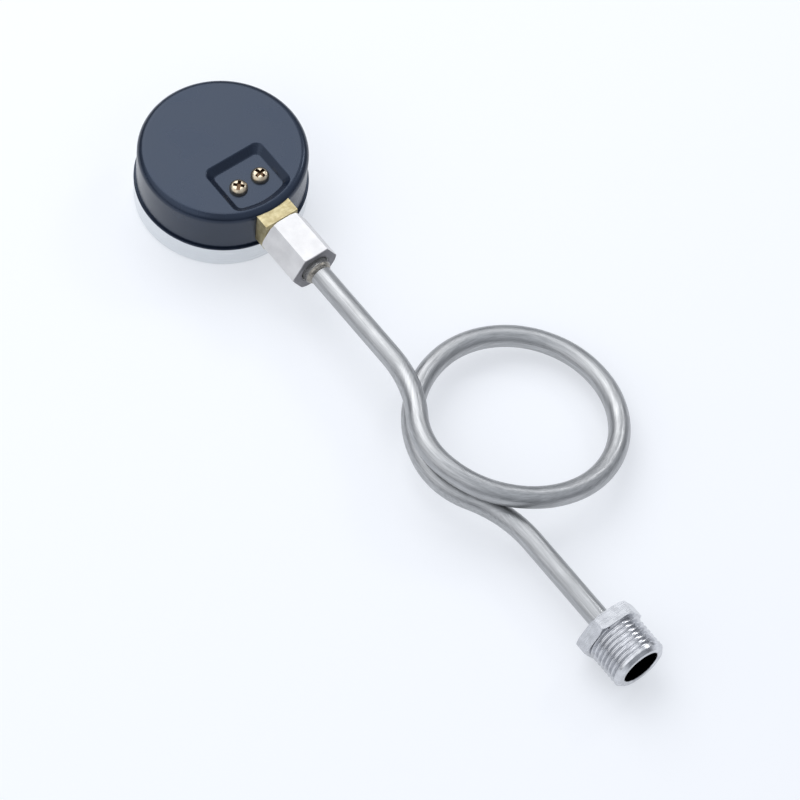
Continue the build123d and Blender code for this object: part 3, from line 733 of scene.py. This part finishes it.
@dataclass(frozen=True)
class YellowZinc(Finish):
    """Yellow passivated zinc on a steel screw: warm, with brown painted shade deep in the cross
    recess.
    """

    name: str = "yellow_zinc_plate"
    dull: str = "b3a28c"
    lit: str = "d2c8b2"
    roughness: float = 0.3
    grain: Spots = Spots(1.2 * MM)
    gloss: tuple[float, float] = (-0.08, 0.04)
    depth: float = 0.01 * MM
    relief: float = 0.3
    # brown painted shade for the depths of the cross recess
    grime: str = "5a4838"
    head: tuple[float, float, float] = (0.0, 0.0, 0.0)      # top of the head, on its axis
    recess_reach: float = 2.4 * MM      # from the axis to the recess's ends
    grime_depth: tuple[float, float] = (-0.9 * MM, -0.3 * MM)   # full painted shade, and none

    def colour(
        self, tree: bpy.types.NodeTree, pattern: bpy.types.NodeSocket
    ) -> bpy.types.NodeSocket:
        """Paint brown shade deep in the recess.

        Args:
            tree: Node tree that gets the nodes.
            pattern: The spots that the plating's colour follows.

        Returns:
            The colour's socket.
        """
        parts = split_place(tree, self.head)
        near = add_node(
            tree, "ShaderNodeMath", {"operation": "LESS_THAN", 1: self.recess_reach},
            {0: axis_reach(tree, parts, Axis.Z)},
        )
        full, none = self.grime_depth
        deep = add_node(
            tree, "ShaderNodeMapRange", {1: full, 2: none, 3: 1.0, 4: 0.0}, {0: parts[2]}
        )
        share = add_node(
            tree, "ShaderNodeMath", {"operation": "MULTIPLY"},
            {0: near.outputs[0], 1: deep.outputs[0]},
        )
        # mix the painted shade into the recess
        mix = add_node(
            tree, "ShaderNodeMix", {"data_type": "RGBA", 7: linear(self.grime)},
            {0: share.outputs[0], 6: super().colour(tree, pattern)},
        )
        return mix.outputs[2]


@dataclass(frozen=True)
class DialLacquer(Finish):
    """Matt white dial lacquer, sprayed on aluminium sheet: soft grain, no mirror."""

    name: str = "dial_lacquer"
    dull: str = "e5e5e0"
    lit: str = "eeeeea"
    roughness: float = 0.55
    grain: Spots = Spots(0.5 * MM)
    depth: float = 0.004 * MM
    relief: float = 0.4
    metallic: float = 0.0
    ior: float = 1.48


@dataclass(frozen=True)
class Ink(Finish):
    """Screen-printed or lacquered black: matt, with a slightly uneven film."""

    name: str = "printed_black"
    dull: str = "101010"
    lit: str = "1c1c1c"
    roughness: float = 0.6
    grain: Spots = Spots(0.3 * MM)
    gloss: tuple[float, float] = (-0.1, 0.1)
    metallic: float = 0.0
    ior: float = 1.48


INNER_STEEL = TurnedSteel(
    "turned_movement_steel", grain=Spots(0.25 * MM, 2.0, (0.04, 0.04, 1.0))
)
STAMPED_BRASS = MilledBrass(
    "stamped_brass", roughness=0.3, grain=Spots(0.4 * MM, 3.0, (1.0, 0.1, 1.0))
)
DRAWN_BRONZE = MilledBrass(
    "drawn_bronze", "a2754a", "c99a6a", 0.32, Spots(0.4 * MM, 3.0, (0.1, 0.1, 1.0))
)
SPRING_BRONZE = MilledBrass(
    "spring_bronze", "ab8048", "d2a86c", 0.28, Spots(0.4 * MM, 3.0, (1.0, 1.0, 0.1))
)


# ------------------------------------------------------------------ the siphon
@dataclass
class Siphon:
    """The bent tube, its two welds and the threaded fitting on its lower end.

    The fitting's axis is X, and its shoulder lies at the origin.
    """

    thread_radius: float = 10.4775 * MM     # over the crests
    thread_pitch: float = 1.814 * MM
    thread_depth: float = 1.15 * MM
    root_flat: float = 0.3 * MM
    crest_flat: float = 0.3 * MM
    thread_turns: int = 8
    facets_a_turn: int = 64
    end_chamfer: float = 1.3 * MM
    hex_length: float = 5.5 * MM
    hex_chamfer: float = 1.0 * MM       # off the corners, by half as much along the axis
    seat_radius: float = 4.02 * MM      # the tube sits in this
    seat_depth: float = 4.0 * MM
    bore_radius: float = 3.0 * MM
    inlet_radius: float = 7.15 * MM
    inlet_slope: float = 0.02 * MM      # keeps the inlet's flat end clear of the shoulder's plane
    inlet_chamfer: float = 0.3 * MM
    bore_skin: float = 0.1 * MM         # the bore's painted shade reaches this far past the inlet's wall
    overrun: float = 1.0 * MM           # cutters stand past the faces they cut by this
    chamfer_overrun: float = 0.2 * MM
    rim_overrun: float = 0.5 * MM
    skim: float = 0.01 * MM             # clears the hexagon's corners between its chamfers
    facets: int = 96
    crease: float = 32.0                # degrees
    coil_outer_radius: float = 40 * MM
    high: Vector = field(default_factory=lambda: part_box("process_connection")[1])

    def hexagon(self) -> bpy.types.Object:
        """Model the fitting's hexagon with its corners turned off.

        Returns:
            The hexagon, one flat down.
        """
        start_clean()
        corner, length, off = self.high.y, self.hex_length, self.hex_chamfer
        bpy.ops.mesh.primitive_cylinder_add(
            vertices=6, radius=corner, depth=length, end_fill_type="NGON",
            location=(-length / 2, 0, 0), rotation=(0, math.pi / 2, 0),
        )
        block = bpy.context.active_object
        bpy.ops.object.transform_apply(location=True, rotation=True, scale=True)
        turned = lathe(
            [
                (-length, 0), (-length, corner - off), (off / 2 - length, corner + self.skim),
                (-off / 2, corner + self.skim), (0, corner - off), (0, 0),
            ],
            self.facets,
        )
        shape_with(block, turned, Shaping.KEEP)
        return block

    def thread_cutter(self) -> bpy.types.Object:
        """Model the helical groove of the pipe thread as a solid to cut with.

        Returns:
            The helix, from inside the hexagon to the fitting's plain end.
        """
        start, crest = -self.thread_pitch, -self.thread_radius
        root, rim = crest + self.thread_depth, crest - self.rim_overrun
        half = (self.thread_pitch - self.crest_flat) / 2
        helix = outline([
            (start - half, rim), (start - half, crest), (start - self.root_flat / 2, root),
            (start + self.root_flat / 2, root), (start + half, crest), (start + half, rim),
        ])
        screw = helix.modifiers.new("turns", "SCREW")
        screw.axis = "X"
        screw.angle = 2 * math.pi
        screw.screw_offset = self.thread_pitch
        screw.iterations = self.thread_turns
        screw.steps = screw.render_steps = self.facets_a_turn
        screw.use_merge_vertices = True
        bpy.ops.object.modifier_apply(modifier=screw.name)
        bpy.ops.object.mode_set(mode="EDIT")
        bpy.ops.mesh.select_all(action="DESELECT")
        bpy.ops.mesh.select_non_manifold(extend=False)
        bpy.ops.mesh.fill_holes(sides=0)
        bpy.ops.object.mode_set(mode="OBJECT")
        close_up(helix)
        return helix

    def bores(self) -> bpy.types.Object:
        """Model the tube's seat, the bore and the wide inlet as a solid to cut with.

        Returns:
            The turned cutter, standing past both ends of the fitting.
        """
        end, seat_end = self.high.x, self.seat_depth - self.hex_length
        inlet, chamfer, past = self.inlet_radius, self.inlet_chamfer, self.chamfer_overrun
        back = -self.hex_length - self.overrun
        return lathe(
            [
                (back, 0), (back, self.seat_radius), (seat_end, self.seat_radius),
                (seat_end, self.bore_radius), (0, self.bore_radius), (self.inlet_slope, inlet),
                (end - chamfer, inlet), (end + past, inlet + chamfer + past),
                (end + self.overrun, inlet), (end + self.overrun, 0),
            ],
            self.facets,
        )

    def fitting(self) -> bpy.types.Object:
        """Model the threaded fitting: hexagon, cut thread, chamfered end and bores.

        Returns:
            The finished fitting, riding on the siphon's body.
        """
        end, crest, off = self.high.x, self.thread_radius, self.end_chamfer
        piece = self.hexagon()
        inside = -self.hex_length / 2
        barrel = lathe(
            [(inside, 0), (inside, crest), (end - off, crest), (end, crest - off), (end, 0)],
            self.facets,
        )
        shape_with(barrel, self.thread_cutter(), Shaping.CUT)
        shape_with(piece, barrel, Shaping.JOIN)
        shape_with(piece, self.bores(), Shaping.CUT)
        close_up(piece)
        settle(piece, "threaded_fitting")
        smooth(piece, self.crease)
        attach(piece, BODY)
        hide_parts("process_connection")
        return piece

    def build(self) -> None:
        """Model the fitting and dress the tube and welds."""
        coil_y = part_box("siphon_tube")[1].y - self.coil_outer_radius
        centre = (node_centre("siphon_tube").x, coil_y, 0.0)
        dress(("siphon_tube",), SatinTube(coil_centre=centre))
        dress(("lower_weld", "upper_weld"), WeldSteel())
        paint(self.fitting(), BoredSteel(bore_reach=self.inlet_radius + self.bore_skin))
        log.info("siphon: tube, two welds and the threaded fitting")


@dataclass
class Coupling:
    """The nut that holds the siphon on the gauge, with its tail and washer."""

    def build(self) -> None:
        """Dress the coupling's pieces."""
        dress(("coupling_nut",), SatinNickel(heated_end=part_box("coupling_nut")[1].x))
        dress(("siphon_tail",), TurnedSteel("turned_tail"))
        dress(("sealing_washer",), FibreSeal())
        log.info("coupling: nut, tail and washer")


@dataclass
class GaugeCase:
    """The enamelled case, bezel ring, window, seal, brass socket and its two screws."""

    def build(self) -> None:
        """Dress the case's pieces."""
        dress(("case",), BlackEnamel())
        dress(("bezel_ring",), BrightRing())
        dress(("window",), WindowGlass())
        dress(("window_gasket",), Rubber())
        dress(("socket",), MilledBrass())
        for screw in ("case_screw_1", "case_screw_2"):
            middle = node_centre(screw)
            top = (middle.x, middle.y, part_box(screw)[1].z)
            dress((screw,), YellowZinc(f"yellow_zinc_{screw}", head=top))
        log.info("case: shell, ring, window, gasket, socket and screws")


@dataclass
class Dial:
    """The dial with its printed scale, and the pointer over it."""

    zero: float = 45.0                  # degrees from the stem
    sweep: float = 270.0                # degrees from there to full scale
    largest: int = 10
    numbered: int = 2                   # units from one number to the next
    parts: int = 5                      # parts of a unit that the ticks mark
    scale_radius: float = 26.6 * MM
    long_tick: tuple[float, float] = (3.2 * MM, 0.5 * MM)       # length and width
    short_tick: tuple[float, float] = (2.0 * MM, 0.25 * MM)
    number_radius: float = 19.6 * MM
    number_size: float = 5.4 * MM       # of the letters' body; the figures are 4 mm high
    curve_steps: int = 4
    film: float = 0.03 * MM
    middle: Vector = field(default_factory=lambda: node_centre("bezel_ring"))
    face: float = field(default_factory=lambda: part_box("dial")[0].z)

    def place(self, share: float, radius: float) -> tuple[float, float, float]:
        """Find the point on the dial for a share of the scale.

        Args:
            share: 0 at zero and 1 at full scale.
            radius: Distance from the pointer's axis.

        Returns:
            X, Y and its angle round the axis in radians.
        """
        angle = math.radians(self.zero + share * self.sweep)
        return (
            self.middle.x + radius * math.cos(angle),
            self.middle.y + radius * math.sin(angle),
            angle,
        )

    def bar(self, share: float, size: tuple[float, float]) -> bpy.types.Object:
        """Model one tick mark.

        Args:
            share: Its place on the scale, from 0 to 1.
            size: Its length and width.

        Returns:
            The tick, a thin slip lying on the dial.
        """
        x, y, angle = self.place(share, self.scale_radius - size[0] / 2)
        start_clean()
        bpy.ops.mesh.primitive_cube_add(size=1.0, location=(x, y, self.face - self.film / 2))
        tick = bpy.context.active_object
        tick.scale = (size[0], size[1], self.film)
        tick.rotation_euler = (0, 0, angle)
        bpy.ops.object.transform_apply(location=True, rotation=True, scale=True)
        return tick

    def number(self, value: int) -> bpy.types.Object:
        """Model one of the scale's numbers, facing the window with its top towards the stem.

        Args:
            value: The number.

        Returns:
            The number as a mesh on the dial.
        """
        x, y, _ = self.place(value / self.largest, self.number_radius)
        start_clean()
        bpy.ops.object.text_add()
        text = bpy.context.active_object
        text.data.body = str(value)
        text.data.size = self.number_size
        text.data.align_x = "CENTER"
        text.data.align_y = "CENTER"
        text.data.extrude = self.film / 2
        text.data.resolution_u = self.curve_steps
        bpy.ops.object.convert(target="MESH")
        text = bpy.context.active_object
        text.rotation_euler = (math.pi, 0, math.pi / 2)
        text.location = (x, y, self.face - self.film / 2)
        bpy.ops.object.transform_apply(location=True, rotation=True, scale=True)
        return text

    def printed_scale(self) -> bpy.types.Object:
        """Model the scale: its ticks and plain numbers.

        Returns:
            The scale as one piece on the dial.
        """
        count = self.largest * self.parts
        marks = [
            self.bar(i / count, self.long_tick if i % self.parts == 0 else self.short_tick)
            for i in range(count + 1)
        ]
        marks += [self.number(value) for value in range(0, self.largest + 1, self.numbered)]
        start_clean()
        for mark in marks:
            mark.select_set(True)
        bpy.context.view_layer.objects.active = marks[0]
        bpy.ops.object.join()
        scale = bpy.context.active_object
        close_up(scale)
        settle(scale, "dial_scale")
        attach(scale, BODY)
        return scale

    def build(self) -> None:
        """Print the scale and dress the dial and pointer."""
        dress(("dial",), DialLacquer())
        dress(("pointer",), Ink("pointer_lacquer"))
        dress(("pointer_hub",), STAMPED_BRASS)
        dress(("stop_pin",), INNER_STEEL)
        paint(self.printed_scale(), Ink())
        log.info("dial: lacquered dial, printed scale and pointer")


@dataclass
class Movement:
    """Bourdon tube, link, sector, pinion, plates and hairspring inside the case."""

    crease: float = 40.0                # degrees, on the copied bourdon tube

    def build(self) -> None:
        """Dress the movement's pieces."""
        dress(
            (
                "tube_tip", "link", "front_plate", "back_plate", "pillar_1", "pillar_2",
                "pillar_3", "sector_gear", "hairspring_collet", "hairspring_stud",
                "dial_spacer_1", "dial_spacer_2",
            ),
            STAMPED_BRASS,
        )
        dress(
            (
                "tip_pin", "movement_screw_1", "movement_screw_2", "pinion", "sector_arbor",
                "tail_pin", "dial_screw_1", "dial_screw_2",
            ),
            INNER_STEEL,
        )
        dress(("hairspring",), SPRING_BRONZE)
        paint(self.flexing_tube(), DRAWN_BRONZE)
        log.info("movement: bourdon tube, linkage, gears, plates and hairspring")

    def flexing_tube(self) -> bpy.types.Object:
        """Copy the bourdon tube as a piece of its own, in place of the CAD node.

        Returns:
            The tube that stands for the rigid one.
        """
        source = frame["nodes"]["bourdon_tube"]
        piece = source.copy()
        piece.data = source.data.copy()
        # What marks the CAD node goes, because the copy is a piece of its own.
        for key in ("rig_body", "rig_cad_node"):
            if key in piece:
                del piece[key]
        piece.parent = None
        piece.matrix_world = Matrix.Identity(4)
        bpy.context.scene.collection.objects.link(piece)
        piece.name = piece.data.name = "flexing_bourdon_tube"
        close_up(piece)
        smooth(piece, self.crease)
        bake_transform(piece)
        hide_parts("bourdon_tube")
        return piece


# ------------------------------------------------------------------ floor, light and camera
class Lamp(Enum):
    """The studio's lamps: place from the camera's aim, width in metres and power in watts."""

    KEY = ((-0.66, 0.12, 0.85), 1.0, 4.9)
    FILL = ((-0.20, -0.80, 0.70), 1.4, 3.0)
    GLINT = ((-0.13, 0.80, 0.66), 0.2, 0.7)     # small, for a highlight along the enamel's edges


@dataclass
class Studio:
    """Pale floor, soft light and the camera; lengths in metres and angles in degrees."""

    aim: tuple[float, float, float] = (-0.121703, 0.00164, -0.011)
    elevation: float = 58.569
    azimuth: float = -44.707
    roll: float = 8.516
    distance: float = 1.42615
    lens: float = 180.0
    floor_height: float = -0.0111
    floor_size: float = 6.0
    floor_middle: float = -0.12         # x
    floor_roughness: float = 0.9
    floor_colour: str = "f7f9fd"
    floor_glow: str = "f7faff"
    glow_share: float = 0.5             # share of the floor's white that no shadow darkens
    sky: str = "eef3fb"
    horizon: str = "4d525c"
    rise: tuple[float, float] = (-0.05, 0.7)    # of a unit ray, where horizon ends and sky is full
    sky_strength: float = 0.8
    sensor: float = 36.0
    clip: tuple[float, float] = (0.05, 20.0)

    def camera(self) -> None:
        """Place the camera on its orbit about the aim and roll it."""
        turn, lift, roll = (math.radians(v) for v in (self.azimuth, self.elevation, self.roll))
        back = Vector((
            math.cos(turn) * math.cos(lift), math.sin(turn) * math.cos(lift), math.sin(lift)
        ))
        right = (-back).cross(Vector((0, 0, 1))).normalized()
        up = right.cross(-back)
        right, up = (
            math.cos(roll) * right + math.sin(roll) * up,
            math.cos(roll) * up - math.sin(roll) * right,
        )
        data = bpy.data.cameras.new("camera")
        data.lens = self.lens
        data.sensor_width = self.sensor
        data.clip_start, data.clip_end = self.clip
        view = bpy.data.objects.new("camera", data)
        bpy.context.scene.collection.objects.link(view)
        turned = Matrix((right, up, back)).transposed().to_4x4()
        turned.translation = Vector(self.aim) + back * self.distance
        view.matrix_world = turned
        bpy.context.scene.camera = view

    def floor(self) -> None:
        """Lay the floor under the gauge's face."""
        start_clean()
        bpy.ops.mesh.primitive_plane_add(
            size=self.floor_size, location=(self.floor_middle, 0, self.floor_height)
        )
        floor = bpy.context.active_object
        floor.name = "floor"
        made = bpy.data.materials.new("studio_floor")
        made.use_nodes = True
        tree = made.node_tree
        shader = tree.nodes["Principled BSDF"]
        shader.inputs["Base Color"].default_value = linear(self.floor_colour)
        shader.inputs["Roughness"].default_value = self.floor_roughness
        shader.inputs["Specular IOR Level"].default_value = 0.0
        glow = add_node(tree, "ShaderNodeEmission", {"Color": linear(self.floor_glow)})
        ray = add_node(tree, "ShaderNodeLightPath").outputs
        seen = add_node(
            tree, "ShaderNodeMath", {"operation": "ADD"},
            {0: ray["Is Camera Ray"], 1: ray["Is Glossy Ray"]},
        )
        shown = add_node(
            tree, "ShaderNodeMath", {"operation": "ADD", "use_clamp": True},
            {0: seen.outputs[0], 1: ray["Is Transmission Ray"]},
        )
        share = add_node(
            tree, "ShaderNodeMath", {"operation": "MULTIPLY", 1: self.glow_share},
            {0: shown.outputs[0]},
        )
        mix = add_node(
            tree, "ShaderNodeMixShader",
            links={0: share.outputs[0], 1: shader.outputs[0], 2: glow.outputs[0]},
        )
        # From under the floor the camera looks through it, at the gauge's face.
        under = add_node(
            tree, "ShaderNodeMath", {"operation": "MULTIPLY"},
            {
                0: add_node(tree, "ShaderNodeNewGeometry").outputs["Backfacing"],
                1: ray["Is Camera Ray"],
            },
        )
        clear = add_node(tree, "ShaderNodeBsdfTransparent")
        shown_side = add_node(
            tree, "ShaderNodeMixShader",
            links={0: under.outputs[0], 1: mix.outputs[0], 2: clear.outputs[0]},
        )
        tree.links.new(
            shown_side.outputs[0], tree.nodes["Material Output"].inputs["Surface"]
        )
        floor.data.materials.append(made)

    def lamps(self) -> None:
        """Hang the lamps, each turned to the object."""
        for lamp in Lamp:
            place, size, power = lamp.value
            data = bpy.data.lights.new(lamp.name.lower(), "AREA")
            data.shape = "DISK"
            data.size = size
            data.energy = power
            hung = bpy.data.objects.new(lamp.name.lower(), data)
            hung.location = Vector(self.aim) + Vector(place)
            hung.rotation_mode = "QUATERNION"
            hung.rotation_quaternion = Vector(place).to_track_quat("Z", "Y")
            bpy.context.scene.collection.objects.link(hung)

    def world(self) -> None:
        """Light the scene evenly from a pale sky that is darker towards the horizon."""
        world = bpy.data.worlds.new("studio")
        bpy.context.scene.world = world
        world.use_nodes = True
        tree = world.node_tree
        sky = tree.nodes["Background"]
        place = add_node(tree, "ShaderNodeTexCoord")
        parts = add_node(
            tree, "ShaderNodeSeparateXYZ", links={0: place.outputs["Generated"]}
        )
        low, high = self.rise
        height = add_node(
            tree, "ShaderNodeMapRange", {1: low, 2: high, 3: 0.0, 4: 1.0},
            {0: parts.outputs[2]},
        )
        shade = add_node(
            tree, "ShaderNodeMix",
            {"data_type": "RGBA", 6: linear(self.horizon), 7: linear(self.sky)},
            {0: height.outputs[0]},
        )
        tree.links.new(shade.outputs[2], sky.inputs["Color"])
        sky.inputs["Strength"].default_value = self.sky_strength

    def build(self) -> None:
        """Set floor, lamps, world and camera."""
        self.camera()
        self.floor()
        self.lamps()
        self.world()
        view = bpy.context.scene.view_settings
        view.view_transform = "Standard"
        log.info("studio: camera, floor, %d lamps and sky", len(Lamp))


def main() -> None:
    """Build the classes in order."""
    steps: list[Callable[[], None]] = [
        Studio().build, Siphon().build, Coupling().build, GaugeCase().build, Dial().build,
        Movement().build,
    ]
    for step in steps:
        step()
    start_clean()


if __name__ == "__main__":
    main()
